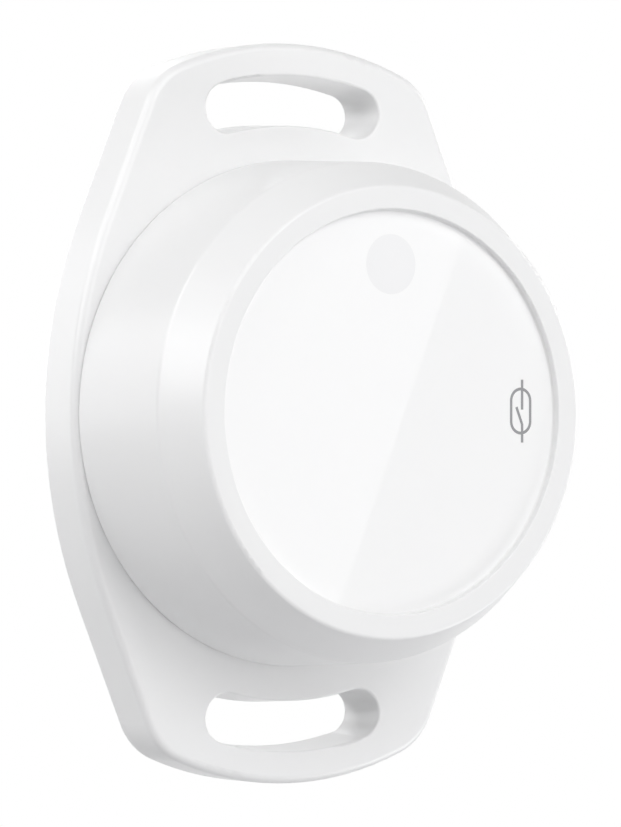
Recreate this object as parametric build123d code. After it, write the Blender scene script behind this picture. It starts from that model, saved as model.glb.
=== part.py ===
from build123d import *
import os
from math import asin, atan2, cos, degrees, sin, sqrt, tan

# A wall-mounted multisensor: a thick base plate with two slotted ears, a stepped round cover with a
# sunk front label, and the board, lithium cell and sensors between them.
# It is modelled lying on its back. The sensor's axis is z, which runs out of the wall from the wall
# face at z = 0. x runs to the right of someone who faces the sensor, and y runs up the wall.
# Each sub-part is turned upright when it is written, so that +Z is up and the front faces -Y.
# Lengths are in millimetres.

# Circuit board and its seat
board_thickness = 1.0
board_standoff = 1.7  # solder space between the base's floor and the board
board_gap = 0.3  # round the board's edge and in its notches

# Lithium cell, which lies across the board and sets the depth of the housing
cell_diameter = 14.5  # over the sleeve
cell_length = 25.0  # from the button to the bottom of the can
cell_sleeve = 0.12
sleeve_lap = 2.0
cell_button_radius = 2.75
cell_button_height = 0.8
cell_crimp_depth = 0.5
cell_crimp_width = 1.2
cell_crimp_setback = 2.2  # from the can's shoulder
cell_edge_radius = 0.5
cell_lift = 0.4  # cell pad under the lowest line of the cell
cell_headroom = 0.6  # between the cell and the cover's ceiling

# Cover: drafted side, bevel, flat rim and the recess for the label
cover_diameter = 49.1  # on the base plate
cover_draft = 0.7  # the side's loss of radius from the base plate to the bevel
bevel_depth = 4.5
bevel_inset = 2.4  # the bevel's loss of radius
rim_width = 2.25
shoulder_round = 1.0
rim_round = 0.5
recess_lip_round = 0.15
foot_chamfer = 0.15
inner_shoulder_round = 0.8
inner_front_round = 0.5
cover_wall = 1.9
front_wall = 1.5
seal_wall = 2.1  # wall of the straight bore at the cover's foot
seal_land = 4.0  # length of that bore
seat_clearance = 0.05  # between the cover's foot and the base plate

# Front label with its window, and the light pipe behind it
label_thickness = 0.5
label_sink = 0.8  # from the rim down to the label
label_gap = 0.05
label_edge_round = 0.08
window_radius = 2.85
window_offset = 14.0  # above the sensor's axis
window_clearance = 0.02
pipe_head_radius = 2.35
pipe_flange_radius = 3.1
pipe_flange_thickness = 0.8
pipe_foot_radius = 1.9
pipe_clearance = 0.05
pipe_foot_gap = 0.7  # above the parts that it serves

# Base plate outline, fixed to the cover and the slots
plate_side_margin = 0.45  # plate beyond the cover's widest place
side_radius = 48.5
flank_start = 18.6  # height at which a bulged side turns into a straight flank
ear_end_radius = 34.6
ear_corner_radius = 6.4
ear_rim = 3.15  # ear beyond the slot
slot_setback = 3.4  # from the cover to the slot
slot_width = 4.9  # at the front
slot_span = 20.2  # over both round ends, at the front
slot_draft = 0.3  # the slot wall's lean inwards from the front to the wall side

# Base plate section
plate_thickness = 5.5
front_edge_round = 0.8
back_edge_round = 0.3
slot_edge_round = 0.25
floor_thickness = 1.8
plate_wall = 2.2  # left round the cored pockets of the back
slot_wall = 1.7
core_depth = 3.5
core_corner_round = 0.7
core_start = 1.6  # from the spigot outwards
rib_thickness = 1.2
rib_angles = (17.0, 33.0)  # each side of the vertical

# Spigot that centres the cover, with the groove of the sealing ring
spigot_gap = 0.15
spigot_wall = 2.0
spigot_height = 3.2
spigot_chamfer = 0.4
groove_depth = 1.1
groove_height = 1.0  # from the plate to the groove
ring_clearance = 0.03
groove_play = 0.3

# Cover screws, which come through the base from the wall side
cover_screw_count = 4
cover_screw_angle = 45.0
cover_screw_radius = 1.0
cover_screw_length = 7.5
cover_screw_head_radius = 1.9
cover_screw_head_height = 1.4
cover_screw_recess = 2.3
screw_hole_clearance = 0.15
head_clearance = 0.25
socket_depth = 0.7
socket_share = 0.5  # socket radius as a share of the head radius
head_round_share = 0.25  # rounding of a screw's head as a share of its height
tip_chamfer_share = 0.25  # chamfer of a screw's tip as a share of its radius
post_wall = 0.85
boss_gap = 0.15  # between the base's posts and the cover's bosses
boss_wall = 0.9
boss_wall_clearance = 0.3
boss_web = 1.2
web_clearance = 0.5
screw_tip_gap = 0.5
insert_radius = 1.6
insert_length = 4.0
insert_fit = 0.02
thread_clearance = 0.05
insert_groove = 0.2
insert_bands = 5  # lands and grooves along the insert, by turns

# Board screws
board_screw_radius = 0.8
board_screw_length = 3.0
board_screw_head_radius = 1.6
board_screw_head_height = 1.1
board_boss_radius = 2.0
board_screw_hole_clearance = 0.15
board_screw_places = ((-7.4, 15.6), (7.6, -15.2))

# Air hole in the back, with its membrane and the channel that leads to the lower slot
vent_radius = 0.7
vent_offset = 14.0  # below the sensor's axis
vent_channel_width = 1.6
vent_channel_depth = 0.6
vent_channel_run_in = 1.15  # of the channel into the lower slot
membrane_radius = 2.6
membrane_thickness = 0.25

# Cell pad and tabs
pad_length = 15.0
pad_width = 9.0
pad_fit = 0.02
tab_thickness = 0.3
tab_width = 4.2
tab_overlap = 1.8  # above the cell's axis
tab_foot_width = 1.4
tab_foot_length = 0.8  # below the board
lead_hole_clearance = 0.15

# Reed switch, which stands upright near the board's right edge
reed_edge_distance = 3.0
glass_length = 11.0
glass_radius = 1.05
glass_wall = 0.22
glass_seal = 1.3  # solid glass at each end
glass_end_share = 0.7  # rounding of the glass ends as a share of its radius
glass_lift = 0.3
lead_radius = 0.25
lead_reach = 2.6  # beyond the glass before the bend
lead_bend = 0.6
lead_foot_length = 0.8
blade_width = 1.1
blade_thickness = 0.2
blade_overlap = 1.2
blade_gap = 0.2
blade_root_gap = 0.1
seal_fit = 0.01

# Radio module with shield can and antenna
module_width = 10.5
module_length = 9.0
module_thickness = 0.8
module_shift = -2.2
module_cell_gap = 1.0
can_width = 9.3
can_length = 5.4
can_height = 1.7
can_round = 0.35
can_shift = 1.2
antenna_width = 6.0
antenna_length = 1.8
antenna_height = 1.0
antenna_edge = 0.5
castellation_radius = 0.3
castellation_count = 6
castellation_pitch = 1.2

# Small parts on the board
small_part_row_gap = 1.7  # from the cell's sleeve to the row's middle
small_part_count = 8
small_part_pitch = 2.4
chip_length = 1.6
chip_width = 0.8
capacitor_height = 0.8
resistor_height = 0.45
led_size = (1.6, 0.8, 0.6)
light_sensor_size = (2.0, 2.0, 0.7)
light_part_shift = 1.1
climate_size = (2.5, 2.5, 0.9)
climate_place = (6.4, 14.2)
climate_slot_gap = 0.8
climate_slot_width = 0.8
climate_port_radius = 0.45
climate_port_depth = 0.3
accelerometer_size = (3.0, 3.0, 0.95)
accelerometer_rise = 4.4  # above the board's middle
tantalum_size = (3.2, 6.0, 2.5)
tantalum_drop = 3.2  # below the board's middle
left_column_edge_distance = 3.4
crystal_size = (3.2, 2.5, 0.8)
crystal_place = (-5.5, 12.0)
part_lip = 0.15
lip_share = 0.25  # most of a package's height that its lip may take

# Heights above the wall
board_back = floor_thickness + board_standoff
board_front = board_back + board_thickness
cell_axis = board_front + cell_lift + cell_diameter / 2
ceiling = cell_axis + cell_diameter / 2 + cell_headroom
recess_floor = ceiling + front_wall
label_front = recess_floor + label_thickness
front_face = label_front + label_sink
cover_foot = plate_thickness + seat_clearance
shoulder_height = front_face - bevel_depth

# Radii about the sensor's axis
cover_radius = cover_diameter / 2
shoulder_radius = cover_radius - cover_draft
rim_radius = shoulder_radius - bevel_inset
recess_radius = rim_radius - rim_width
label_radius = recess_radius - label_gap
seal_bore_radius = cover_radius - seal_wall
spigot_radius = seal_bore_radius - spigot_gap
spigot_bore_radius = spigot_radius - spigot_wall
board_radius = spigot_bore_radius - board_gap
slot_radius = cover_radius + slot_setback + slot_width / 2
boss_radius = insert_radius + boss_wall
post_radius = cover_screw_head_radius + head_clearance + post_wall
cover_screw_circle = spigot_bore_radius - boss_wall_clearance - boss_radius
ring_section = groove_depth + spigot_gap - 2 * ring_clearance

# Base plate outline
half_width = cover_radius + plate_side_margin
half_height = slot_radius + slot_width / 2 + ear_rim

# Places on the board
reed_x = board_radius - reed_edge_distance
reed_axis = board_front + glass_lift + glass_radius
lead_foot_y = glass_length / 2 + lead_reach
left_column_x = left_column_edge_distance - board_radius
module_y = -(cell_diameter / 2 + module_cell_gap + module_length / 2)
cover_screw_places = PolarLocations(cover_screw_circle, cover_screw_count, cover_screw_angle)


def rod(radius, low, high, x=0.0, y=0.0):
    """Round bar that stands on the plan point (x, y), between two heights above the wall."""
    return Pos(x, y, low) * Cylinder(radius, high - low, align=(Align.CENTER, Align.CENTER, Align.MIN))


def block(width, length, low, high, x=0.0, y=0.0):
    """Square bar on the plan point (x, y): width along x, length along y, between two heights."""
    return Pos(x, y, low) * Box(width, length, high - low, align=(Align.CENTER, Align.CENTER, Align.MIN))


def section(*corners):
    """Face with radius across and height up. Each corner is (radius, height, rounding)."""
    face = make_face(Polyline(*[(radius, height) for radius, height, rounding in corners], close=True))
    for radius, height, rounding in corners:
        if rounding:
            face = fillet(face.vertices().sort_by_distance((radius, height, 0))[0], rounding)
    return face


def turned(face):
    """Solid that a section leaves when it turns about the sensor's axis."""
    return revolve(Plane.XZ * face, Axis.Z)


def both_ears(shape):
    """A shape of the upper ear, with its mirror image in the lower ear."""
    return shape + mirror(shape, Plane.XZ)


def plate_outline():
    """Bulged sides, straight flanks and arched ear ends, with round ear corners."""
    turn = asin(flank_start / side_radius)
    shoulder = Vector(half_width - side_radius * (1 - cos(turn)), flank_start)
    along_flank = Vector(-sin(turn), cos(turn))
    from_ear_centre = shoulder - Vector(0, half_height - ear_end_radius)
    half_b = from_ear_centre.dot(along_flank)
    reach = sqrt(half_b**2 - from_ear_centre.dot(from_ear_centre) + ear_end_radius**2) - half_b
    corner = shoulder + along_flank * reach
    side = ThreePointArc(shoulder, (half_width, 0), (shoulder.X, -shoulder.Y))
    flank = Line(shoulder, corner)
    end = ThreePointArc(corner, (0, half_height), (-corner.X, corner.Y))
    left_flank = mirror(flank, Plane.YZ)
    sides = [side, mirror(side, Plane.YZ)]
    flanks = [flank, left_flank, mirror(flank, Plane.XZ), mirror(left_flank, Plane.XZ)]
    ends = [end, mirror(end, Plane.XZ)]
    face = make_face(sides + flanks + ends)
    ear_corners = [v for v in face.vertices() if abs(v.Y) > (shoulder.Y + corner.Y) / 2]
    return fillet(ear_corners, ear_corner_radius)


def ear_slot(width):
    """Arched slot of the upper ear, concentric with the cover."""
    half_angle = degrees(asin((slot_span - slot_width) / 2 / slot_radius))
    return SlotArc(CenterArc((0, 0), slot_radius, 90 - half_angle, 2 * half_angle), width)


def slot_hole():
    """Hole of the upper ear's slot, which narrows towards the wall side as its mould core does."""
    front = Pos(0, 0, plate_thickness) * ear_slot(slot_width)
    return loft([ear_slot(slot_width - 2 * slot_draft), front])


def back_cores():
    """Pockets that core the ears from the wall side, between outer wall, slot wall and ribs."""
    solid_plan = Circle(spigot_radius + core_start) + both_ears(ear_slot(slot_width + 2 * slot_wall))
    for angle in rib_angles:
        for side in (-1, 1):
            solid_plan += Rot(0, 0, side * angle) * Rectangle(rib_thickness, 2 * half_height)
    pockets = offset(plate_outline(), -plate_wall) - solid_plan
    shrunk = [offset(pocket, -core_corner_round) for pocket in pockets.faces()]
    rounded = [offset(pocket, core_corner_round) for pocket in shrunk if pocket.faces()]
    return extrude(Sketch() + rounded, core_depth)


def vented_floor_cut():
    """Air hole under the membrane and the shallow channel from it to the lower slot."""
    channel_end = slot_radius - slot_width / 2 + vent_channel_run_in
    channel = block(
        vent_channel_width,
        channel_end - vent_offset,
        0,
        vent_channel_depth,
        y=-(channel_end + vent_offset) / 2,
    )
    return rod(vent_radius, 0, floor_thickness, y=-vent_offset) + channel + rod(
        vent_channel_width / 2, 0, vent_channel_depth, y=-vent_offset
    )


def spigot():
    """Ring that centres the cover, grooved for the sealing ring, with a lead-in chamfer."""
    top = plate_thickness + spigot_height
    groove_low = plate_thickness + groove_height
    groove_high = groove_low + ring_section + groove_play
    return turned(
        section(
            (spigot_bore_radius, floor_thickness, 0),
            (spigot_radius, floor_thickness, 0),
            (spigot_radius, groove_low, 0),
            (spigot_radius - groove_depth, groove_low, 0),
            (spigot_radius - groove_depth, groove_high, 0),
            (spigot_radius, groove_high, 0),
            (spigot_radius, top - spigot_chamfer, 0),
            (spigot_radius - spigot_chamfer, top, 0),
            (spigot_bore_radius, top, 0),
        )
    )


def mounting_base():
    """Base plate with slotted ears, board pocket, spigot, screw posts and cored back."""
    base = extrude(plate_outline(), plate_thickness)
    base -= both_ears(slot_hole())
    base = fillet(base.faces().sort_by(Axis.Z)[-1].outer_wire().edges(), front_edge_round)
    base = fillet(base.faces().sort_by(Axis.Z)[0].outer_wire().edges(), back_edge_round)
    rims = [wire.edges() for wire in base.faces().sort_by(Axis.Z)[-1].inner_wires()]
    base = fillet([edge for rim in rims for edge in rim], slot_edge_round)
    base -= back_cores()
    base -= rod(spigot_bore_radius, floor_thickness, plate_thickness)
    base += spigot()
    head_hole = cover_screw_head_radius + head_clearance
    shank_hole = cover_screw_radius + screw_hole_clearance
    board_bore_end = board_front - board_screw_length - screw_tip_gap / 2
    for place in cover_screw_places:
        base += place * rod(post_radius, floor_thickness, plate_thickness)
        base -= place * rod(head_hole, 0, cover_screw_recess)
        base -= place * rod(shank_hole, 0, plate_thickness)
    for x, y in board_screw_places:
        base += rod(board_boss_radius, floor_thickness, board_back, x, y)
        base -= rod(board_screw_radius + insert_fit, board_bore_end, board_back, x, y)
    return base - vented_floor_cut()


def seal_ring():
    """Sealing ring in the spigot's groove."""
    centre = spigot_radius - groove_depth + ring_clearance + ring_section / 2
    height = plate_thickness + groove_height + (ring_section + groove_play) / 2
    return turned(Pos(centre, height) * Circle(ring_section / 2))


def vent_membrane():
    """Air-permeable disc on the floor, over the air hole."""
    return rod(membrane_radius, floor_thickness, floor_thickness + membrane_thickness, y=-vent_offset)


def cap_form():
    """Outer form of the cover: drafted side, soft shoulder, bevel, flat rim and the label's recess."""
    return turned(
        section(
            (0, cover_foot, 0),
            (cover_radius - foot_chamfer, cover_foot, 0),
            (cover_radius, cover_foot + foot_chamfer, 0),
            (shoulder_radius, shoulder_height, shoulder_round),
            (rim_radius, front_face, rim_round),
            (recess_radius, front_face, recess_lip_round),
            (recess_radius, recess_floor, 0),
            (0, recess_floor, 0),
        )
    )


def cap_cavity():
    """Inside of the cover: straight bore for the seal, then walls that follow side and bevel."""
    bevel_angle = atan2(bevel_inset, bevel_depth)
    inner_radius = shoulder_radius - cover_wall
    inner_height = shoulder_height - cover_wall * tan(bevel_angle / 2)
    inner_front_radius = inner_radius - (ceiling - inner_height) * tan(bevel_angle)
    return turned(
        section(
            (0, cover_foot, 0),
            (seal_bore_radius, cover_foot, 0),
            (seal_bore_radius, cover_foot + seal_land, 0),
            (inner_radius, inner_height, inner_shoulder_round),
            (inner_front_radius, ceiling, inner_front_round),
            (0, ceiling, 0),
        )
    )


def cover():
    """Cap with four screw bosses, their webs, insert bores and the light pipe's hole."""
    boss_foot = plate_thickness + boss_gap
    bore_end = cover_screw_recess + cover_screw_length + screw_tip_gap
    web_foot = plate_thickness + spigot_height + web_clearance
    web_length = shoulder_radius - cover_wall / 2 - cover_screw_circle
    form = cap_form()
    cap = form - cap_cavity()
    for place in cover_screw_places:
        boss = rod(boss_radius, boss_foot, ceiling)
        web = block(web_length, boss_web, web_foot, ceiling, x=web_length / 2)
        cap += place * (boss + web) & form
        cap -= place * rod(insert_radius + insert_fit, boss_foot, boss_foot + insert_length)
        cap -= place * rod(cover_screw_radius + screw_hole_clearance, boss_foot, bore_end)
    return cap - rod(pipe_head_radius + pipe_clearance, ceiling, recess_floor, y=window_offset)


def front_label():
    """Film disc in the recess, with a round opening for the window."""
    film = turned(
        section(
            (0, recess_floor, 0),
            (label_radius, recess_floor, 0),
            (label_radius, label_front, label_edge_round),
            (0, label_front, 0),
        )
    )
    return film - rod(window_radius, recess_floor, label_front, y=window_offset)


def window_lens():
    """Translucent round window, flush with the label."""
    return rod(window_radius - window_clearance, recess_floor, label_front, y=window_offset)


def light_pipe():
    """Clear guide: head in the cover's front wall, flange under the ceiling, tapered stem to the board."""
    foot = board_front + light_sensor_size[2] + pipe_foot_gap
    flange_foot = ceiling - pipe_flange_thickness
    outline = section(
        (0, foot, 0),
        (pipe_foot_radius, foot, 0),
        (pipe_head_radius, flange_foot, 0),
        (pipe_flange_radius, flange_foot, 0),
        (pipe_flange_radius, ceiling, 0),
        (pipe_head_radius, ceiling, 0),
        (pipe_head_radius, recess_floor, 0),
        (0, recess_floor, 0),
    )
    return Pos(0, window_offset, 0) * turned(outline)


def cover_inserts():
    """Threaded bushes in the cover's bosses, each with two retaining grooves."""
    foot = plate_thickness + boss_gap
    groove = insert_length / insert_bands
    bush = section(
        (cover_screw_radius + thread_clearance, foot, 0),
        (insert_radius, foot, 0),
        (insert_radius, foot + groove, 0),
        (insert_radius - insert_groove, foot + groove, 0),
        (insert_radius - insert_groove, foot + 2 * groove, 0),
        (insert_radius, foot + 2 * groove, 0),
        (insert_radius, foot + 3 * groove, 0),
        (insert_radius - insert_groove, foot + 3 * groove, 0),
        (insert_radius - insert_groove, foot + 4 * groove, 0),
        (insert_radius, foot + 4 * groove, 0),
        (insert_radius, foot + insert_length, 0),
        (cover_screw_radius + thread_clearance, foot + insert_length, 0),
    )
    return [place * turned(bush) for place in cover_screw_places]


def machine_screw(shank_radius, shank_length, head_radius, head_height):
    """Screw with its head's bearing face at z = 0, its shank towards +z and a hexagon socket."""
    socket = RegularPolygon(head_radius * socket_share, 6)
    head = rod(head_radius, -head_height, 0)
    head = fillet(head.edges().sort_by(Axis.Z)[0], head_height * head_round_share)
    shank = rod(shank_radius, 0, shank_length)
    shank = chamfer(shank.edges().sort_by(Axis.Z)[-1], shank_radius * tip_chamfer_share)
    return head + shank - extrude(Pos(0, 0, -head_height) * socket, socket_depth)


def cover_screws():
    """Screws that come through the base into the cover's inserts."""
    screw = machine_screw(
        cover_screw_radius, cover_screw_length, cover_screw_head_radius, cover_screw_head_height
    )
    return [place * Pos(0, 0, cover_screw_recess) * screw for place in cover_screw_places]


def board_screws():
    """Screws that hold the board on the base's two bosses."""
    screw = machine_screw(
        board_screw_radius, board_screw_length, board_screw_head_radius, board_screw_head_height
    )
    return [Pos(x, y, board_front) * Rot(180, 0, 0) * screw for x, y in board_screw_places]


def circuit_board():
    """Round board, notched for the posts, drilled for screws, tabs and leads, slotted for the sensor."""
    board = rod(board_radius, board_back, board_front)
    for place in cover_screw_places:
        board -= place * rod(post_radius + board_gap, board_back, board_front)
    for x, y in board_screw_places:
        board -= rod(board_screw_radius + board_screw_hole_clearance, board_back, board_front, x, y)
    for side in (-1, 1):
        board -= block(
            tab_thickness + 2 * lead_hole_clearance,
            tab_foot_width + 2 * lead_hole_clearance,
            board_back,
            board_front,
            x=side * (cell_length + tab_thickness) / 2,
        )
        board -= rod(lead_radius + lead_hole_clearance, board_back, board_front, reed_x, side * lead_foot_y)
    x, y = climate_place
    across = climate_size[0] + 2 * climate_slot_gap
    slot_y = y - across / 2
    board -= block(across, climate_slot_width, board_back, board_front, x, slot_y)
    arm_length = across / 2
    for side in (-1, 1):
        slot_x = x + side * across / 2
        board -= block(climate_slot_width, arm_length, board_back, board_front, slot_x, y - arm_length / 2)
    return board


def along_x(face):
    """Solid that a section leaves when it turns about the cell's axis, which lies along x."""
    return Pos(0, 0, cell_axis) * Rot(0, 90, 0) * turned(face)


def battery_cell():
    """Lithium cell: can with rounded bottom, crimp groove and button."""
    radius = cell_diameter / 2 - cell_sleeve - pad_fit
    bottom = -cell_length / 2
    button = cell_length / 2
    can_end = button - cell_button_height
    crimp = can_end - cell_crimp_setback
    return along_x(
        section(
            (0, bottom, 0),
            (radius, bottom, cell_edge_radius),
            (radius, crimp - cell_crimp_width, 0),
            (radius - cell_crimp_depth, crimp - cell_crimp_width / 2, 0),
            (radius, crimp, 0),
            (radius, can_end, cell_edge_radius),
            (cell_button_radius, can_end, 0),
            (cell_button_radius, button, 0),
            (0, button, 0),
        )
    )


def battery_sleeve():
    """Shrunk film round the can, turned in over the shoulder at the button's end."""
    radius = cell_diameter / 2
    inner = radius - cell_sleeve
    low = cell_edge_radius - cell_length / 2
    high = cell_length / 2 - cell_button_height + pad_fit
    return along_x(
        section(
            (inner, low, 0),
            (radius, low, 0),
            (radius, high + cell_sleeve, cell_edge_radius),
            (radius - sleeve_lap, high + cell_sleeve, 0),
            (radius - sleeve_lap, high, 0),
            (inner, high, cell_edge_radius - cell_sleeve),
        )
    )


def battery_pad():
    """Soft pad between board and cell, hollowed to the cell's round."""
    pad = block(pad_length, pad_width, board_front, cell_axis)
    cell_space = Pos(0, 0, cell_axis) * Rot(0, 90, 0) * Cylinder(cell_diameter / 2 + pad_fit, cell_length)
    return pad - cell_space


def battery_tab(side):
    """Welded strip from one end of the cell down through the board."""
    place = side * (cell_length + tab_thickness) / 2
    strip = block(tab_thickness, tab_width, board_front + cell_lift, cell_axis + tab_overlap, x=place)
    foot = block(tab_thickness, tab_foot_width, board_back - tab_foot_length, cell_axis, x=place)
    return strip + foot


def battery_tab_positive():
    """Tab welded to the cell's button."""
    return battery_tab(1)


def battery_tab_negative():
    """Tab welded to the bottom of the can."""
    return battery_tab(-1)


def upright_reed(shape):
    """Turn a shape made along +z into the reed switch's axis, which runs up the board."""
    return Pos(reed_x, 0, reed_axis) * Rot(-90, 0, 0) * shape


def reed_glass():
    """Glass capsule: thin wall round the blades, solid round ends sealed to the leads."""
    half = glass_length / 2
    end_round = glass_radius * glass_end_share
    bore = glass_radius - glass_wall
    return upright_reed(
        turned(
            section(
                (lead_radius + seal_fit, -half, 0),
                (glass_radius, -half, end_round),
                (glass_radius, half, end_round),
                (lead_radius + seal_fit, half, 0),
                (lead_radius + seal_fit, half - glass_seal, 0),
                (bore, half - glass_seal, 0),
                (bore, glass_seal - half, 0),
                (lead_radius + seal_fit, glass_seal - half, 0),
            )
        )
    )


def reed_leads():
    """Round leads through the glass ends, bent down into the board."""
    inner_end = glass_length / 2 - glass_seal
    foot = board_back - lead_foot_length
    leads = []
    for side in (-1, 1):
        path = FilletPolyline(
            (reed_x, side * inner_end, reed_axis),
            (reed_x, side * lead_foot_y, reed_axis),
            (reed_x, side * lead_foot_y, foot),
            radius=lead_bend,
        )
        start = Plane(origin=path @ 0, z_dir=path % 0)
        leads.append(sweep(start * Circle(lead_radius), path))
    return leads


def reed_blade(side):
    """Flat blade from one glass end to just past the middle, on its own side of the gap."""
    root = glass_length / 2 - glass_seal - blade_root_gap
    tip = -blade_overlap / 2
    middle = reed_axis + side * (blade_gap + blade_thickness) / 2
    low = middle - blade_thickness / 2
    return block(blade_width, root - tip, low, low + blade_thickness, reed_x, side * (root + tip) / 2)


def reed_blade_upper():
    """Blade held by the upper glass end, on the front side of the gap."""
    return reed_blade(1)


def reed_blade_lower():
    """Blade held by the lower glass end, on the wall side of the gap."""
    return reed_blade(-1)


def radio_module_board():
    """Small board with half-round solder notches down both sides."""
    low = board_front
    high = low + module_thickness
    board = block(module_width, module_length, low, high, module_shift, module_y)
    first = -(castellation_count - 1) / 2 * castellation_pitch
    for side in (-1, 1):
        for index in range(castellation_count):
            x = module_shift + side * module_width / 2
            y = module_y + first + index * castellation_pitch
            board -= rod(castellation_radius, low, high, x, y)
    return board


def radio_shield_can():
    """Pressed can over the radio chip, with rounded top edges and corners."""
    low = board_front + module_thickness
    can = block(can_width, can_length, low, low + can_height, module_shift, module_y + can_shift)
    return fillet(can.edges().filter_by(Axis.Z) + can.faces().sort_by(Axis.Z)[-1].edges(), can_round)


def chip_antenna():
    """Ceramic antenna along the module's lower edge."""
    low = board_front + module_thickness
    y = module_y - module_length / 2 + antenna_edge + antenna_length / 2
    return block(antenna_width, antenna_length, low, low + antenna_height, module_shift, y)


def small_part(size, x, y):
    """Moulded package with a chamfered top, standing on the board."""
    width, length, height = size
    package = block(width, length, board_front, board_front + height, x, y)
    return chamfer(package.faces().sort_by(Axis.Z)[-1].edges(), min(part_lip, height * lip_share))


def climate_sensor():
    """Temperature and humidity sensor with its round air port."""
    x, y = climate_place
    top = board_front + climate_size[2]
    return small_part(climate_size, x, y) - rod(climate_port_radius, top - climate_port_depth, top, x, y)


def light_sensor():
    """Light sensor beside the status light, under the light pipe."""
    return small_part(light_sensor_size, light_part_shift, window_offset)


def status_led():
    """Status light beside the light sensor, under the light pipe."""
    return small_part((led_size[1], led_size[0], led_size[2]), -light_part_shift, window_offset)


def accelerometer():
    """Motion sensor in the column left of the cell."""
    return small_part(accelerometer_size, left_column_x, accelerometer_rise)


def tantalum_capacitor():
    """Buffer capacitor in the column left of the cell."""
    return small_part(tantalum_size, left_column_x, -tantalum_drop)


def crystal_can():
    """Quartz crystal in its flat can."""
    return small_part(crystal_size, *crystal_place)


def chip_row(height, first):
    """Every second place of the row of chip parts above the cell."""
    y = cell_diameter / 2 + small_part_row_gap
    start = -(small_part_count - 1) / 2 * small_part_pitch
    places = [start + index * small_part_pitch for index in range(first, small_part_count, 2)]
    return [small_part((chip_width, chip_length, height), x, y) for x in places]


def chip_capacitors():
    """Ceramic capacitors, in every second place of the row above the cell."""
    return chip_row(capacitor_height, 0)


def chip_resistors():
    """Resistors, in the places between the capacitors."""
    return chip_row(resistor_height, 1)


sub_parts = (
    mounting_base,
    cover,
    front_label,
    window_lens,
    light_pipe,
    cover_inserts,
    seal_ring,
    vent_membrane,
    cover_screws,
    board_screws,
    circuit_board,
    battery_cell,
    battery_sleeve,
    battery_pad,
    battery_tab_positive,
    battery_tab_negative,
    reed_glass,
    reed_leads,
    reed_blade_upper,
    reed_blade_lower,
    radio_module_board,
    radio_shield_can,
    chip_antenna,
    climate_sensor,
    light_sensor,
    status_led,
    accelerometer,
    tantalum_capacitor,
    crystal_can,
    chip_capacitors,
    chip_resistors,
)

os.makedirs("parts", exist_ok=True)
for make in sub_parts:
    made = make()
    solids = made if isinstance(made, list) else [made]
    upright = [solid for shape in solids for solid in (Plane.XZ * shape).solids()]
    node = upright[0] if len(upright) == 1 else Compound(children=upright)
    export_step(node, f"parts/{make.__name__}.step")
    print(make.__name__, len(upright), round(sum(solid.volume for solid in upright), 2))
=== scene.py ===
import math

import bmesh
import bpy
import numpy as np
from mathutils import Matrix, Vector


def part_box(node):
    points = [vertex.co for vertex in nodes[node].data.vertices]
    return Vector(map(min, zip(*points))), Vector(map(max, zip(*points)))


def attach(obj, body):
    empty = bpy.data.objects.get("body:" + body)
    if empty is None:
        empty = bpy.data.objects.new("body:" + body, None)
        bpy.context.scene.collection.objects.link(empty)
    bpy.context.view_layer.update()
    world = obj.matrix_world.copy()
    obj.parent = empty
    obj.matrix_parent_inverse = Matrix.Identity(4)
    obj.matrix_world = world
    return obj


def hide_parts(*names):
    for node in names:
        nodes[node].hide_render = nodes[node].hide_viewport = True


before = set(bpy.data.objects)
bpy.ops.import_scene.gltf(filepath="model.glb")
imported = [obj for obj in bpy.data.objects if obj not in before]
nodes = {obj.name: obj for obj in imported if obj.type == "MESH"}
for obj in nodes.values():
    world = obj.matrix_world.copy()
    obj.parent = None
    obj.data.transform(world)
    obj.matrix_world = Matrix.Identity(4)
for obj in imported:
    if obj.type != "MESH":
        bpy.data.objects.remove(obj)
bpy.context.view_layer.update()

# The imported model, before anything is added. All sizes here are in metres: +Z runs up the
# wall, the front faces -Y, and the sensor's axis is the line x = z = 0.
mm = 0.001


# Mounting base
# The thick plate that stays on the wall, with its two slotted ears. It is injection moulded in one shot
# from white polycarbonate, and takes its satin grain from the mould.
class Reading:
    """A value, vector or colour that is read on a surface. Sums on values add their Math nodes."""

    def __init__(self, network, socket):
        self.network = network
        self.socket = socket

    def math(self, operation, *others):
        """A Math node on this value, with the others as its second and third terms."""
        return self.network.node("ShaderNodeMath", {"operation": operation}, dict(enumerate((self, *others))))

    def __add__(self, other):
        return self.math("ADD", other)

    def __sub__(self, other):
        return self.math("SUBTRACT", other)

    def __rsub__(self, other):
        return self.math("MULTIPLY_ADD", -1.0, other)

    def __mul__(self, other):
        return self.math("MULTIPLY", other)

    def __abs__(self):
        return self.math("ABSOLUTE")

    __radd__ = __add__
    __rmul__ = __mul__

    def distance(self, other):
        """How far the point with these two coordinates lies from the origin: (self^2 + other^2)^0.5."""
        return (self * self + other * other).math("SQRT")

    def wave(self, pitch):
        """A sine of the value, from -1 to 1, that repeats at a pitch."""
        return (self * (2 * math.pi / pitch)).math("SINE")

    def past(self, edge, soft=0.02 * mm):
        """0 below an edge and 1 beyond it, with a soft step between."""
        ends = {"Value": self, "From Min": edge - soft, "From Max": edge + soft}
        return self.network.node("ShaderNodeMapRange", {"interpolation_type": "SMOOTHSTEP"}, ends)

    def within(self, middle, reach, soft=0.02 * mm):
        """1 where the value is less than the reach from the middle, and 0 elsewhere."""
        return 1 - abs(self - middle).past(reach, soft)


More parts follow.
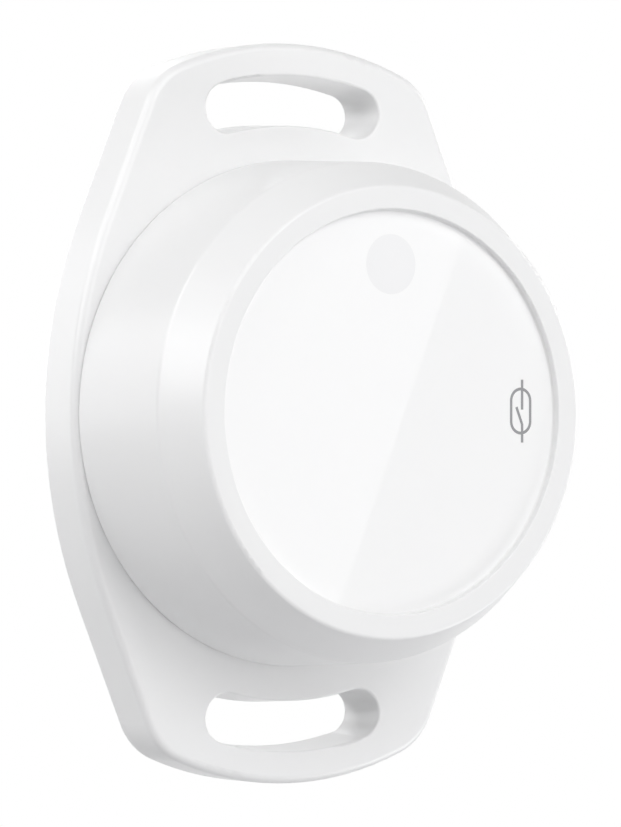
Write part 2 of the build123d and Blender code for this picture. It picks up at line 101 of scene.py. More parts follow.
class Network:
    """A tree of shader nodes, to which one method adds every node."""

    def __init__(self, tree):
        self.tree = tree

    def node(self, kind, settings=(), sockets=(), output=0):
        """One node: first its settings, such as an operation, then the values or links of its sockets."""
        made = self.tree.nodes.new(kind)
        for setting, choice in dict(settings).items():
            setattr(made, setting, choice)
        for socket, value in dict(sockets).items():
            if isinstance(value, Reading):
                self.tree.links.new(value.socket, made.inputs[socket])
            else:
                made.inputs[socket].default_value = value
        return Reading(self, made.outputs[output])


class Finish(Network):
    """A procedural material: its shader's constants, and the readings that vary over the surface."""

    def __init__(self, name, constants=()):
        self.material = bpy.data.materials.new(name)
        self.material.use_nodes = True
        super().__init__(self.material.node_tree)
        self.shader = self.tree.nodes["Principled BSDF"]
        for socket, constant in dict(constants).items():
            self.shader.inputs[socket].default_value = constant
        self.place = self.node("ShaderNodeTexCoord", output="Object")
        axes = self.node("ShaderNodeSeparateXYZ", {}, {0: self.place}).socket.node.outputs
        self.x, self.y, self.z = [Reading(self, axis) for axis in axes]

    def noise(self, grain, detail=2.0, stretch=(1, 1, 1)):
        """Soft noise from 0 to 1, in patches about one grain (metres) across, longer where stretched."""
        scale = [1 / (grain * times) for times in stretch]
        place = self.node("ShaderNodeVectorMath", {"operation": "MULTIPLY"}, {0: self.place, 1: scale})
        return self.node("ShaderNodeTexNoise", {}, {"Vector": place, "Scale": 1.0, "Detail": detail})

    def round_spot(self, middle, radius, soft=0.02 * mm):
        """1 inside a round spot about a point (x, z) of the front, and 0 outside it."""
        return 1 - (self.x - middle[0]).distance(self.z - middle[1]).past(radius, soft)

    def square_spot(self, middle, width, length, soft=0.02 * mm):
        """1 inside a rectangle about a point (x, z) of the front, and 0 outside it."""
        return self.x.within(middle[0], width / 2, soft) * self.z.within(middle[1], length / 2, soft)

    def between(self, share, colour, other):
        """The colour that lies that share of the way from one colour to the other."""
        ends = [end if isinstance(end, Reading) else (*end, 1.0) for end in (colour, other)]
        return self.node("ShaderNodeMix", {"data_type": "RGBA"}, {0: share, 6: ends[0], 7: ends[1]}, output=2)

    def feed(self, socket, reading):
        """Links a reading to one of the shader's sockets."""
        self.tree.links.new(reading.socket, self.shader.inputs[socket])

    def patched(self, grain, colour, other, roughness=None, detail=2.0):
        """A base colour, and a roughness between two ends, that vary together in soft patches."""
        patches = self.noise(grain, detail)
        self.feed("Base Color", self.between(patches, colour, other))
        if roughness:
            self.feed("Roughness", roughness[0] + (roughness[1] - roughness[0]) * patches)
        return patches

    def relief(self, height, depth):
        """Bumps as deep as the height reading says, in shares of a real depth in metres."""
        bump = {"Height": height, "Distance": depth, "Strength": 1.0}
        self.feed("Normal", self.node("ShaderNodeBump", {}, bump))


def cover_node(name, finish):
    """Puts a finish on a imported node, whose mesh stays as it is."""
    for material_slot in nodes[name].material_slots:
        material_slot.material = finish.material


housing = Finish("housing", {"IOR": 1.58})
housing.patched(12 * mm, (0.89, 0.89, 0.89), (0.875, 0.876, 0.88), roughness=(0.28, 0.34))
housing.relief(housing.noise(0.16 * mm), 0.0012 * mm)
cover_node("mounting_base", housing)


# Sealing ring
# A cord of black rubber moulded into a ring, which lies squeezed in the spigot's groove. Talc from its
# bag leaves it a little grey.
seal = Finish("seal", {"IOR": 1.5, "Roughness": 0.62})
seal.patched(1.5 * mm, (0.035, 0.035, 0.038), (0.085, 0.085, 0.09), detail=6.0)
seal.relief(seal.noise(0.12 * mm), 0.004 * mm)
cover_node("seal_ring", seal)


# Vent membrane
# A disc of stretched white fluoropolymer felt over the air hole, which lets air and moisture in to the
# climate sensor but no water. A ring of adhesive holds it round its edge.
membrane_free_radius = 1.7 * mm


def front_middle(low, high):
    """The middle (x, z) of a box, as it is seen from the front."""
    return (low.x + high.x) / 2, (low.z + high.z) / 2


membrane_middle = front_middle(*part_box("vent_membrane"))
membrane = Finish("membrane", {"IOR": 1.38, "Roughness": 0.75})
membrane_free = membrane.round_spot(membrane_middle, membrane_free_radius, soft=0.06 * mm)
membrane.feed("Base Color", membrane.between(membrane_free, (0.62, 0.62, 0.59), (0.84, 0.84, 0.82)))
membrane.relief(membrane.noise(0.05 * mm, 4.0, (1, 1, 5)) - 0.5 * membrane_free, 0.02 * mm)
cover_node("vent_membrane", membrane)


# Circuit board
# A round two-layer board, 1 mm of glass-filled epoxy under green solder mask, notched for the screw
# posts. Slots round the climate sensor keep the warmth of the other parts away from it.
board_low, board_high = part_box("circuit_board")
board_face = board_low.y
board_middle_y = (board_low.y + board_high.y) / 2
board_radius = board_high.x
mask_thickness = 0.02 * mm
weave_pitch = 0.45 * mm
board = Finish("board", {"IOR": 1.5})
board_core = board.y.within(board_middle_y, board_high.y - board_middle_y - mask_thickness, soft=0.01 * mm)
board_mask_colour = board.between(board.noise(5 * mm), (0.012, 0.135, 0.055), (0.02, 0.17, 0.07))
board.feed("Base Color", board.between(board_core, board_mask_colour, (0.52, 0.47, 0.26)))
board.feed("Roughness", 0.3 + 0.25 * board_core)
board.relief(0.5 + 0.5 * (board.x.wave(weave_pitch) * board.z.wave(weave_pitch)), 0.0015 * mm)
cover_node("circuit_board", board)

same_point = 0.00002 * mm
sharp_angle = math.radians(35)


def surface(name, grids, finish, body, rings=False, replaced=()):
    """One piece from grids of points (rows, columns, xyz), whose columns close, and whose rows do as rings.

    Each grid cell becomes a face. Seams are welded, and the faces turned outwards.
    """
    corners, quads, count = [], [], 0
    for grid in grids:
        index = np.arange(grid.shape[0] * grid.shape[1]).reshape(grid.shape[:2]) + count
        index = np.concatenate([index, index[:, :1]], axis=1)
        if rings:
            index = np.concatenate([index, index[:1]], axis=0)
        cells = [index[:-1, :-1], index[:-1, 1:], index[1:, 1:], index[1:, :-1]]
        quads.append(np.stack(cells, axis=-1).reshape(-1, 4))
        corners.append(grid.reshape(-1, 3))
        count += len(corners[-1])
    mesh = bpy.data.meshes.new(name)
    mesh.from_pydata(np.concatenate(corners).tolist(), [], np.concatenate(quads).tolist())
    shape = bmesh.new()
    shape.from_mesh(mesh)
    bmesh.ops.remove_doubles(shape, verts=shape.verts, dist=same_point)
    bmesh.ops.recalc_face_normals(shape, faces=shape.faces)
    shape.to_mesh(mesh)
    shape.free()
    mesh.shade_smooth()
    mesh.set_sharp_from_angle(angle=sharp_angle)
    mesh.materials.append(finish.material)
    piece = bpy.data.objects.new(name, mesh)
    bpy.context.scene.collection.objects.link(piece)
    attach(piece, body)
    if replaced:
        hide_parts(*replaced)


def rounded(middle, width, length, radius, steps=4):
    """Points round a rectangle with round corners, or a circle, one quarter circle after another."""
    turn = np.linspace(0, math.pi / 2, steps)
    arcs = []
    for quarter, (across, along) in enumerate(((1, 1), (-1, 1), (-1, -1), (1, -1))):
        centre = (middle[0] + across * (width / 2 - radius), middle[1] + along * (length / 2 - radius))
        angle = turn + quarter * math.pi / 2
        arcs.append(np.column_stack([centre[0] + radius * np.cos(angle), centre[1] + radius * np.sin(angle)]))
    return np.concatenate(arcs)


def stacked(loops, order=(0, 2, 1)):
    """Rows of points from loops (a, b), each at its height, where a lone point closes an end.

    The order says which of a, b and the height become x, y and z.
    """
    outline = np.shape(loops[1][0])
    rows = [np.column_stack([np.broadcast_to(loop, outline), np.full(outline[0], at)]) for loop, at in loops]
    return np.stack(rows)[..., order]


def prism(outline, low, high, edge, order=(0, 2, 1)):
    """An outline (a, b) carried from low to high, with broken end edges and closed ends."""
    middle = outline.mean(axis=0)
    inner = middle + (outline - middle) * (1 - edge / np.abs(outline - middle).max())
    step = math.copysign(edge, high - low)
    low_end = [(middle, low), (inner, low), (outline, low + step)]
    high_end = [(outline, high - step), (inner, high), (middle, high)]
    return stacked(low_end + high_end, order)


def stroke(path, face, width, height, closed=False):
    """A flat ribbon of one width along points (x, z) on the face y, closed at its ends where it has any."""
    before, after = np.roll(path, 1, axis=0), np.roll(path, -1, axis=0)
    if not closed:
        before[0], after[-1] = path[0], path[-1]
    along = after - before
    aside = np.column_stack([-along[:, 1], along[:, 0]]) / np.linalg.norm(along, axis=1)[:, None] * width / 2
    corners = []
    for side, rise in ((-1, 0), (-1, 1), (1, 1), (1, 0)):
        edge = path + side * aside
        corners.append(np.column_stack([edge[:, 0], np.full(len(edge), face - rise * height), edge[:, 1]]))
    ribbon = np.stack(corners, axis=1)
    if closed:
        return ribbon
    ends = ribbon.mean(axis=1, keepdims=True).repeat(4, axis=1)
    return np.concatenate([ends[:1], ribbon, ends[-1:]])


# Copper tracks
# The copper of the front layer, as it shows in relief through the solder mask: eight signal tracks that
# run under the cell, the cell's wide tracks, and those of the reed switch and the sensors.
track_copper = Finish("masked_copper", {"IOR": 1.5, "Roughness": 0.3})
track_copper.patched(3 * mm, (0.03, 0.25, 0.09), (0.04, 0.29, 0.11))
track_height = 0.025 * mm
signal_width = 0.25 * mm
power_width = 0.8 * mm
bend_z = 6 * mm
chip_first, chip_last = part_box("chip_capacitors")[0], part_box("chip_resistors")[1]
chip_width = 0.8 * mm
chip_count = 8
chip_x = np.linspace(chip_first.x + chip_width / 2, chip_last.x - chip_width / 2, chip_count)
chip_low_z, chip_high_z = chip_first.z, chip_last.z
chip_middle_z = (chip_low_z + chip_high_z) / 2
module_low, module_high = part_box("radio_module_board")
module_width = module_high.x - module_low.x
pin_margin = 0.08 * module_width
pin_x = np.linspace(module_low.x + pin_margin, module_high.x - pin_margin, chip_count)
signal_tracks = []
for start, end in zip(pin_x, chip_x):
    signal_tracks.append(((start, module_high.z), (start, -bend_z), (end, bend_z), (end, chip_low_z)))

# The turns (x, z) of the other tracks, in millimetres.
track_turns = {
    "crystal": ((-6.0, 9.8), (-6.0, 10.9)),
    "crystal_return": ((-3.6, 9.8), (-4.4, 10.8)),
    "status_light": ((-1.2, 9.8), (-1.2, 13.1)),
    "light_sensor": ((1.2, 9.8), (1.2, 12.9)),
    "climate_sensor": ((3.6, 9.8), (3.6, 15.4), (4.4, 16.2), (5.8, 16.2), (6.0, 15.5)),
    "motion_sensor_upper": ((-15.1, 5.2), (-13.9, 5.2), (-12.9, 6.2), (-11.0, 6.2)),
    "motion_sensor_middle": ((-15.1, 4.4), (-11.0, 4.4)),
    "motion_sensor_lower": ((-15.1, 3.6), (-13.9, 3.6), (-13.5, 3.2), (-11.0, 3.2)),
    "reed_upper": ((16.6, 8.1), (9.0, 8.1)),
    "reed_lower": ((16.6, -8.1), (4.6, -8.1), (3.1, -9.6)),
    "test_upper": ((5.4, -9.5), (4.4, -9.5), (3.1, -10.8)),
    "test_lower": ((5.4, -11.5), (4.0, -11.5), (3.1, -12.4)),
    "antenna_feed": ((3.1, -14.4), (5.0, -14.4), (5.8, -13.6)),
}
signal_tracks += [np.array(turns) * mm for turns in track_turns.values()]
power_tracks = [np.array(turns) * mm for turns in (
    ((-12.65, -1.4), (-12.65, -3.4), (-13.6, -5.6), (-15.4, -6.0)),
    ((12.65, -1.4), (12.65, -5.6), (11.4, -6.9), (8.0, -6.9)),
    ((-16.6, -6.6), (-16.6, -7.4), (-15.1, -8.9), (-7.7, -8.9)),
)]
tracks = [stroke(np.array(turns), board_face, signal_width, track_height) for turns in signal_tracks]
tracks += [stroke(turns, board_face, power_width, track_height) for turns in power_tracks]
surface("copper_tracks", tracks, track_copper, "base")


# Board pads and vias
# Bare gold-plated copper: four test points, seven vias beside the parts, and a fence of stitching vias
# that joins both ground layers along the board's edge.
gold = Finish("pad_gold", {"Metallic": 1.0})
gold.patched(0.6 * mm, (0.86, 0.68, 0.36), (0.80, 0.62, 0.32), roughness=(0.26, 0.38))
pad_height = 0.03 * mm
pad_edge = 0.01 * mm
test_radius = 0.6 * mm
via_radius = 0.22 * mm
via_circle = board_radius - 0.75 * mm
via_step = 6
diagonal = 45
notch_reach = 14
lone_vias = ((6.0, 11.0), (8.4, 10.6), (-8.4, 10.6), (-11.2, 9.4), (6.0, -13.4), (-9.2, -12.4), (-9.2, -10.8))
test_points = ((5.4, -9.5), (7.6, -9.5), (5.4, -11.5), (7.6, -11.5))


def disc(x, z, radius, height=pad_height, steps=4):
    """A low round pad on the board."""
    outline = rounded((x, z), 2 * radius, 2 * radius, radius, steps)
    return prism(outline, board_face, board_face - height, pad_edge)


# The fence leaves out the board's notches, which lie on its diagonals.
pads = []
for degrees in range(0, 360, via_step):
    if abs((degrees + diagonal) % 90 - diagonal) < diagonal - notch_reach:
        turn = math.radians(degrees)
        pads.append(disc(via_circle * math.sin(turn), via_circle * math.cos(turn), via_radius, steps=3))
pads += [disc(x * mm, z * mm, via_radius, steps=3) for x, z in lone_vias]
pads += [disc(x * mm, z * mm, test_radius) for x, z in test_points]
surface("board_pads", pads, gold, "base")


# Board print
# White outlines round the parts, screen printed on the mask, with a dot at the first pin of the motion
# sensor, the radio module and the crystal.
print_ink = Finish("board_print", {"IOR": 1.5, "Roughness": 0.5})
print_ink.patched(0.3 * mm, (0.86, 0.86, 0.84), (0.74, 0.75, 0.72))
print_width = 0.13 * mm
print_height = 0.015 * mm
print_gap = 0.35 * mm
print_corner = 0.2 * mm
chip_print_width = 1.3 * mm
chip_print_length = 3.1 * mm
dot_radius = 0.16 * mm
first_pins = ((-18.5, 6.3), (-8.1, -8.0), (-7.5, 13.6))
outlines = []
for name in ("crystal_can", "status_led", "accelerometer", "tantalum_capacitor", "radio_module_board"):
    low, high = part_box(name)
    width, length = high.x - low.x + 2 * print_gap, high.z - low.z + 2 * print_gap
    outlines.append(rounded(front_middle(low, high), width, length, print_corner))
for x in chip_x:
    outlines.append(rounded((x, chip_middle_z), chip_print_width, chip_print_length, print_corner))
outlines = [stroke(path, board_face, print_width, print_height, closed=True) for path in outlines]
surface("board_print_outlines", outlines, print_ink, "base", rings=True)
dots = [disc(x * mm, z * mm, dot_radius, print_height, 3) for x, z in first_pins]
surface("board_print_dots", dots, print_ink, "base")


# Chip parts
# Small ceramic capacitors and resistors, reflow soldered in a row above the cell. Each has a tinned cap
# at both ends, and the solder runs up the caps in a hollow curve.
chip_cap_reach = 0.28 * mm
chip_cap_roughness = 0.3
for node, name, colour, other, roughness in (
    ("chip_capacitors", "capacitor_ceramic", (0.40, 0.29, 0.19), (0.47, 0.35, 0.24), 0.45),
    ("chip_resistors", "resistor_glaze", (0.025, 0.025, 0.03), (0.05, 0.05, 0.055), 0.2),
):
    chip = Finish(name, {"IOR": 1.55})
    chip_end = abs(chip.z - chip_middle_z).past((chip_high_z - chip_low_z) / 2 - chip_cap_reach)
    body_colour = chip.between(chip.noise(0.3 * mm), colour, other)
    chip.feed("Base Color", chip.between(chip_end, body_colour, (0.72, 0.71, 0.69)))
    chip.feed("Metallic", chip_end)
    chip.feed("Roughness", roughness - (roughness - chip_cap_roughness) * chip_end)
    chip.relief(chip_end + 0.2 * chip.noise(0.08 * mm), 0.02 * mm)
    cover_node(node, chip)

solder = Finish("solder", {"Metallic": 1.0})
solder_tones = ((0.74, 0.74, 0.74), (0.62, 0.62, 0.63))
solder.relief(solder.patched(0.25 * mm, *solder_tones, roughness=(0.22, 0.38), detail=3.0), 0.01 * mm)
solder_share = np.linspace(0, 1, 7)


def solder_fillets(low, high, places, reach, rise, width, order=(2, 0, 1)):
    """Solder at both ends of a part, low and high, from its end faces down to the lands at its places.

    The hollow curve lies out by reach * (1 - share)^2 and up by rise * share^2.
    """
    up = board_face - rise * solder_share**2
    out = reach * (1 - solder_share) ** 2
    edge = 0.2 * reach
    fillets = []
    for middle in places:
        for end, side in ((low, -1), (high, 1)):
            outline = np.concatenate([[(board_face, end)], np.column_stack([up, end + side * out])])
            fillets.append(prism(outline, middle - width / 2, middle + width / 2, edge, order))
    return fillets


chip_joint = {"reach": 0.4 * mm, "rise": 0.32 * mm, "width": 0.78 * mm}
chip_solder = solder_fillets(chip_low_z, chip_high_z, chip_x, **chip_joint)
# Each part's joints along one end, then their reach, rise and width in millimetres.
for name, pins, reach, rise, width in (
    ("tantalum_capacitor", 1, 0.35, 0.3, 2.4),
    ("crystal_can", 1, 0.35, 0.3, 1.1),
    ("status_led", 1, 0.35, 0.3, 0.7),
    ("accelerometer", 4, 0.22, 0.16, 0.3),
    ("light_sensor", 2, 0.22, 0.16, 0.3),
    ("climate_sensor", 3, 0.22, 0.16, 0.3),
):
    low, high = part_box(name)
    places = low.x + (np.arange(pins) + 0.5) / pins * (high.x - low.x)
    chip_solder += solder_fillets(low.z, high.z, places, reach * mm, rise * mm, width * mm)
surface("chip_solder", chip_solder, solder, "base")


# Motion and climate sensors
# Moulded black packages. The climate sensor has a round port over its chip, and a laser leaves a grey
# dot over the first pin of the motion sensor.
motion_low, motion_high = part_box("accelerometer")
laser_dot_inset = 0.6 * mm
laser_dot_radius = 0.22 * mm
laser_dot = (motion_low.x + laser_dot_inset, motion_high.z - laser_dot_inset)
sensor_black = Finish("chip_black", {"IOR": 1.55})
marked = sensor_black.round_spot(laser_dot, laser_dot_radius)
black_grain = sensor_black.noise(0.06 * mm, 3.0)
moulded_black = sensor_black.between(black_grain, (0.02, 0.02, 0.022), (0.035, 0.035, 0.038))
sensor_black.feed("Base Color", sensor_black.between(marked, moulded_black, (0.16, 0.16, 0.16)))
sensor_black.feed("Roughness", 0.5 + 0.15 * black_grain)
sensor_black.relief(black_grain - marked, 0.006 * mm)
cover_node("accelerometer", sensor_black)
cover_node("climate_sensor", sensor_black)


# Light sensor and status light
# Two small packages side by side under the light pipe. The sensor's dark chip shows through its clear
# resin, and the status light has a yellow phosphor in a white frame.
light_middle = front_middle(*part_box("light_sensor"))
light_chip_width = 1.0 * mm
light_sensor = Finish("sensor_package", {"IOR": 1.53, "Roughness": 0.12})
sensed = light_sensor.square_spot(light_middle, light_chip_width, light_chip_width, soft=0.03 * mm)
resin = light_sensor.between(light_sensor.noise(0.5 * mm), (0.70, 0.71, 0.69), (0.62, 0.63, 0.61))
light_sensor.feed("Base Color", light_sensor.between(sensed, resin, (0.05, 0.045, 0.06)))
cover_node("light_sensor", light_sensor)

led_middle = front_middle(*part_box("status_led"))
phosphor_width = 0.44 * mm
phosphor_length = 0.84 * mm
led = Finish("led_resin", {"IOR": 1.5, "Roughness": 0.2})
phosphor = led.square_spot(led_middle, phosphor_width, phosphor_length, soft=0.04 * mm)
led_frame = led.between(led.noise(0.4 * mm), (0.86, 0.86, 0.84), (0.80, 0.80, 0.78))
led.feed("Base Color", led.between(phosphor, led_frame, (0.82, 0.66, 0.12)))
led.relief(1 - phosphor, 0.05 * mm)
cover_node("status_led", led)


# Tantalum capacitor
# A moulded yellow block with a brown bar at its positive end, and flat tinned terminals folded up its
# two ends.
tantalum_low, tantalum_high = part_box("tantalum_capacitor")
tantalum_x = front_middle(tantalum_low, tantalum_high)[0]
bar_z = tantalum_high.z - 1.0 * mm
bar_width = 0.8 * mm
tantalum = Finish("tantalum_resin", {"IOR": 1.52})
tantalum_grain = tantalum.noise(0.1 * mm, 3.0)
polarity_bar = tantalum.z.within(bar_z, bar_width / 2, soft=0.03 * mm)
tantalum_body = tantalum.between(tantalum_grain, (0.80, 0.47, 0.07), (0.74, 0.42, 0.06))
tantalum.feed("Base Color", tantalum.between(polarity_bar, tantalum_body, (0.22, 0.10, 0.03)))
tantalum.feed("Roughness", 0.42 + 0.12 * tantalum_grain)
tantalum.relief(tantalum_grain, 0.008 * mm)
cover_node("tantalum_capacitor", tantalum)
terminal_width = 2.2 * mm
terminal_thickness = 0.12 * mm
terminal_height = 1.1 * mm
terminal_corner = 0.05 * mm
terminal_edge = 0.03 * mm
terminals = []
for end, side in ((tantalum_low.z, -1), (tantalum_high.z, 1)):
    middle = (tantalum_x, end + side * terminal_thickness / 2)
    section = rounded(middle, terminal_width, terminal_thickness, terminal_corner)
    terminals.append(prism(section, board_face, board_face - terminal_height, terminal_edge))
surface("tantalum_terminals", terminals, solder, "base")


# Crystal and shield can
# Pressed and tinned sheet. The crystal's lid is seam welded to a dark ceramic base, and the radio's can
# has rows of small vent holes, which are not cut: they are painted shade, dark spots on the tin.
can_low, can_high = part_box("radio_shield_can")
can_middle = front_middle(can_low, can_high)
crystal_lid_height = 0.25 * mm
hole_pitch = 0.93 * mm
hole_margin = 0.9 * mm
holed_width, holed_length = can_high.x - can_low.x - 2 * hole_margin, can_high.z - can_low.z - 2 * hole_margin
top_face_reach = 0.05 * mm
tinned = Finish("tinned_can")
tinned_patches = tinned.noise(1.2 * mm, 4.0)
# Painted shade: each vent hole is a near-black, unmetallic spot that stands for the dark inside of the can.
painted_hole_shade = (tinned.x - can_middle[0]).wave(hole_pitch) + (tinned.z - can_middle[1]).wave(hole_pitch)
painted_hole_shade = painted_hole_shade.past(1.6, soft=0.08) * tinned.y.within(can_low.y, top_face_reach)
painted_hole_shade = painted_hole_shade * tinned.square_spot(can_middle, holed_width, holed_length)
ceramic_base = tinned.y.past(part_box("crystal_can")[0].y + crystal_lid_height, soft=0.01 * mm)
# The dark places are painted shade in the vent holes, and the crystal's own dark ceramic base.
hole_shade_and_ceramic = painted_hole_shade + ceramic_base
tin_colour = tinned.between(tinned_patches, (0.70, 0.70, 0.69), (0.60, 0.60, 0.60))
tinned.feed("Base Color", tinned.between(hole_shade_and_ceramic, tin_colour, (0.03, 0.03, 0.03)))
tinned.feed("Metallic", 1 - hole_shade_and_ceramic)
tinned.feed("Roughness", 0.28 + 0.14 * tinned_patches)
tinned.relief(0.1 * tinned.noise(0.1 * mm, 2.0, (1, 1, 6)) - painted_hole_shade, 0.03 * mm)
cover_node("radio_shield_can", tinned)
cover_node("crystal_can", tinned)


# Radio module
# A ready-made module on a dark board of its own, soldered by the plated half holes down both its sides,
# with a ceramic antenna along the edge that is free of copper.
module_middle = front_middle(module_low, module_high)
pin_pitch = 1.2 * mm
pin_count = 6
pin_land = 0.7 * mm
module_board = Finish("module_board", {"IOR": 1.5})
plated = abs(module_board.x - module_middle[0]).past(module_width / 2 - pin_land)
plated = plated * (module_board.z - (module_middle[1] + pin_pitch / 4)).wave(pin_pitch).past(-0.1, soft=0.1)
plated = plated * module_board.z.within(module_middle[1], pin_count / 2 * pin_pitch)
module_mask = module_board.between(module_board.noise(2 * mm), (0.012, 0.016, 0.03), (0.02, 0.026, 0.045))
module_board.feed("Base Color", module_board.between(plated, module_mask, (0.83, 0.66, 0.35)))
module_board.feed("Metallic", plated)
module_board.feed("Roughness", 0.28 + 0.1 * module_board.noise(0.4 * mm))
module_board.relief(plated, 0.02 * mm)
cover_node("radio_module_board", module_board)
pin_z = module_middle[1] + (np.arange(pin_count) - (pin_count - 1) / 2) * pin_pitch
pin_joint = {"reach": 0.5 * mm, "rise": 0.55 * mm, "width": 0.55 * mm, "order": (1, 0, 2)}
module_solder = solder_fillets(module_low.x, module_high.x, pin_z, **pin_joint)
surface("module_solder", module_solder, solder, "base")

antenna_low, antenna_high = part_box("chip_antenna")
antenna_middle = front_middle(antenna_low, antenna_high)
silver_end = 0.55 * mm
silver_line_width = 0.6 * mm
antenna = Finish("antenna_ceramic", {"IOR": 1.6})
silver_line = antenna.z.within(antenna_middle[1], silver_line_width / 2)
silver_line = silver_line * antenna.y.within(antenna_low.y, top_face_reach)
silvered = abs(antenna.x - antenna_middle[0]).past((antenna_high.x - antenna_low.x) / 2 - silver_end)
silvered = silvered.math("MAXIMUM", silver_line)
antenna_body = antenna.between(antenna.noise(0.2 * mm, 4.0), (0.86, 0.85, 0.81), (0.80, 0.79, 0.75))
antenna.feed("Base Color", antenna.between(silvered, antenna_body, (0.70, 0.69, 0.66)))
antenna.feed("Metallic", silvered)
antenna.feed("Roughness", 0.6 - 0.25 * silvered)
antenna.relief(silvered, 0.015 * mm)
cover_node("chip_antenna", antenna)


# Cell pad
# A block of dark closed-cell foam between the board and the cell, hollowed to the cell's round side and
# tacky on both its faces.
foam_cell = 0.25 * mm
pad = Finish("pad", {"IOR": 1.45, "Roughness": 0.85})
foam_cells = pad.node("ShaderNodeTexVoronoi", {}, {"Vector": pad.place, "Scale": 1 / foam_cell})
pad.feed("Base Color", pad.between(foam_cells, (0.07, 0.07, 0.075), (0.15, 0.15, 0.16)))
pad.relief(foam_cells, 0.06 * mm)
cover_node("battery_pad", pad)


# Lithium cell
# A half AA cell in a deep-drawn, nickel-plated can, with draw lines along its side and turning marks on
# both ends. Its shrunk film sleeve is plain, but for a band and the signs of its two poles.
cell_low, cell_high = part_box("battery_cell")
cell_axis_y = (cell_low.y + cell_high.y) / 2
seal_radius = 4.3 * mm
seal_reach = 0.35 * mm
seal_x = cell_high.x - 2.5 * mm
draw_line = 0.2 * mm
turning_pitch = 0.3 * mm
cell_can = Finish("cell_can", {"Metallic": 1.0})
cell_reach = (cell_can.y - cell_axis_y).distance(cell_can.z)
cell_patches = cell_can.noise(1.5 * mm, 4.0, (4, 1, 1))
sealing = cell_reach.within(seal_radius, seal_reach, soft=0.04 * mm) * cell_can.x.past(seal_x, soft=0.1 * mm)
nickel_colour = cell_can.between(cell_patches, (0.66, 0.64, 0.60), (0.56, 0.54, 0.51))
cell_can.feed("Base Color", cell_can.between(sealing, nickel_colour, (0.05, 0.035, 0.03)))
cell_can.feed("Roughness", 0.22 + 0.16 * cell_patches + 0.2 * sealing)
cell_can.relief(cell_reach.wave(turning_pitch) + cell_can.noise(draw_line, 2.0, (30, 1, 1)), 0.003 * mm)
cover_node("battery_cell", cell_can)

sleeve_low, sleeve_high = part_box("battery_sleeve")
sign_size = 3.0 * mm
sign_stroke = 0.56 * mm
plus_middle = (sleeve_high.x - 5.2 * mm, 0)
minus_middle = (sleeve_low.x + 4.0 * mm, 0)
band_x = sleeve_high.x - 2.3 * mm
band_width = 1.0 * mm
ink_soft = 0.03 * mm
sleeve = Finish("cell_sleeve", {"IOR": 1.5, "Roughness": 0.22})
plus_along = sleeve.square_spot(plus_middle, sign_size, sign_stroke, ink_soft)
plus_across = sleeve.square_spot(plus_middle, sign_stroke, sign_size, ink_soft)
minus = sleeve.square_spot(minus_middle, sign_stroke, sign_size, ink_soft)
front_side = 1 - sleeve.y.past(cell_axis_y, soft=1 * mm)
signs = plus_along.math("MAXIMUM", plus_across).math("MAXIMUM", minus) * front_side
printed = signs.math("MAXIMUM", sleeve.x.within(band_x, band_width / 2, ink_soft))
sleeve_colour = sleeve.between(sleeve.noise(3 * mm), (0.01, 0.17, 0.21), (0.015, 0.21, 0.25))
sleeve.feed("Base Color", sleeve.between(printed, sleeve_colour, (0.80, 0.81, 0.80)))
sleeve.relief(sleeve.noise(1.2 * mm, 3.0, (1, 5, 5)), 0.02 * mm)
cover_node("battery_sleeve", sleeve)


# Cell tabs
# Nickel strips, spot welded to both ends of the cell at four points each. Their narrow feet go through
# slots in the board and are soldered on both its faces.
weld_pitch = 0.8 * mm
weld_radius = 0.3 * mm
nickel = Finish("nickel", {"Metallic": 1.0})
weld_place = (abs(nickel.y - cell_axis_y) - weld_pitch).distance(abs(nickel.z) - weld_pitch)
welded = 1 - weld_place.past(weld_radius, soft=0.08 * mm)
nickel_patches = nickel.noise(0.8 * mm, 4.0, (1, 6, 1))
nickel_bare = nickel.between(nickel_patches, (0.68, 0.65, 0.59), (0.58, 0.56, 0.51))
nickel.feed("Base Color", nickel.between(welded, nickel_bare, (0.24, 0.20, 0.17)))
nickel.feed("Roughness", 0.28 + 0.14 * nickel_patches + 0.15 * welded)
nickel.relief(0.05 * nickel_patches - welded, 0.08 * mm)
cover_node("battery_tab_negative", nickel)
cover_node("battery_tab_positive", nickel)

solder_skin = 0.01 * mm
back_rise = 0.5 * mm


def solder_joints(middle, width, length, fillet, rise):
    """Wetted joints round a pin on both faces of the board, on the front one as high as the rise.

    Each skirt lies out from the pin by fillet * (1 - share)^2 and a thin skin, and up by rise * share^2.
    """
    joints = []
    for face, height in ((board_face, -rise), (board_high.y, back_rise)):
        skirt = []
        for share in solder_share:
            out = fillet * (1 - share) ** 2 + solder_skin
            across, along = width + 2 * out, length + 2 * out
            loop = rounded(middle, across, along, min(across, along) / 2, steps=6)
            skirt.append((loop, face + height * share**2))
        joints.append(stacked([(middle, face), *skirt, (middle, face + height)]))
    return joints


tab_thickness = 0.3 * mm
tab_foot_width = 1.4 * mm
tab_fillet = 0.75 * mm
tab_rise = 0.9 * mm
tab_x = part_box("battery_tab_positive")[1].x - tab_thickness / 2
tab_joints = []
for x in (-tab_x, tab_x):
    tab_joints += solder_joints((x, 0.0), tab_thickness, tab_foot_width, tab_fillet, tab_rise)
surface("tab_solder", tab_joints, solder, "base")


# Reed switch
# Two flat blades of nickel iron with rhodium-plated tips, sealed in a tube of greenish glass. Its leads
# are bent through the board and soldered on both faces.
glass = Finish("switch_glass", {"IOR": 1.5, "Transmission Weight": 1.0})
glass.patched(3 * mm, (0.80, 0.93, 0.86), (0.84, 0.95, 0.89), roughness=(0.01, 0.03))
cover_node("reed_glass", glass)

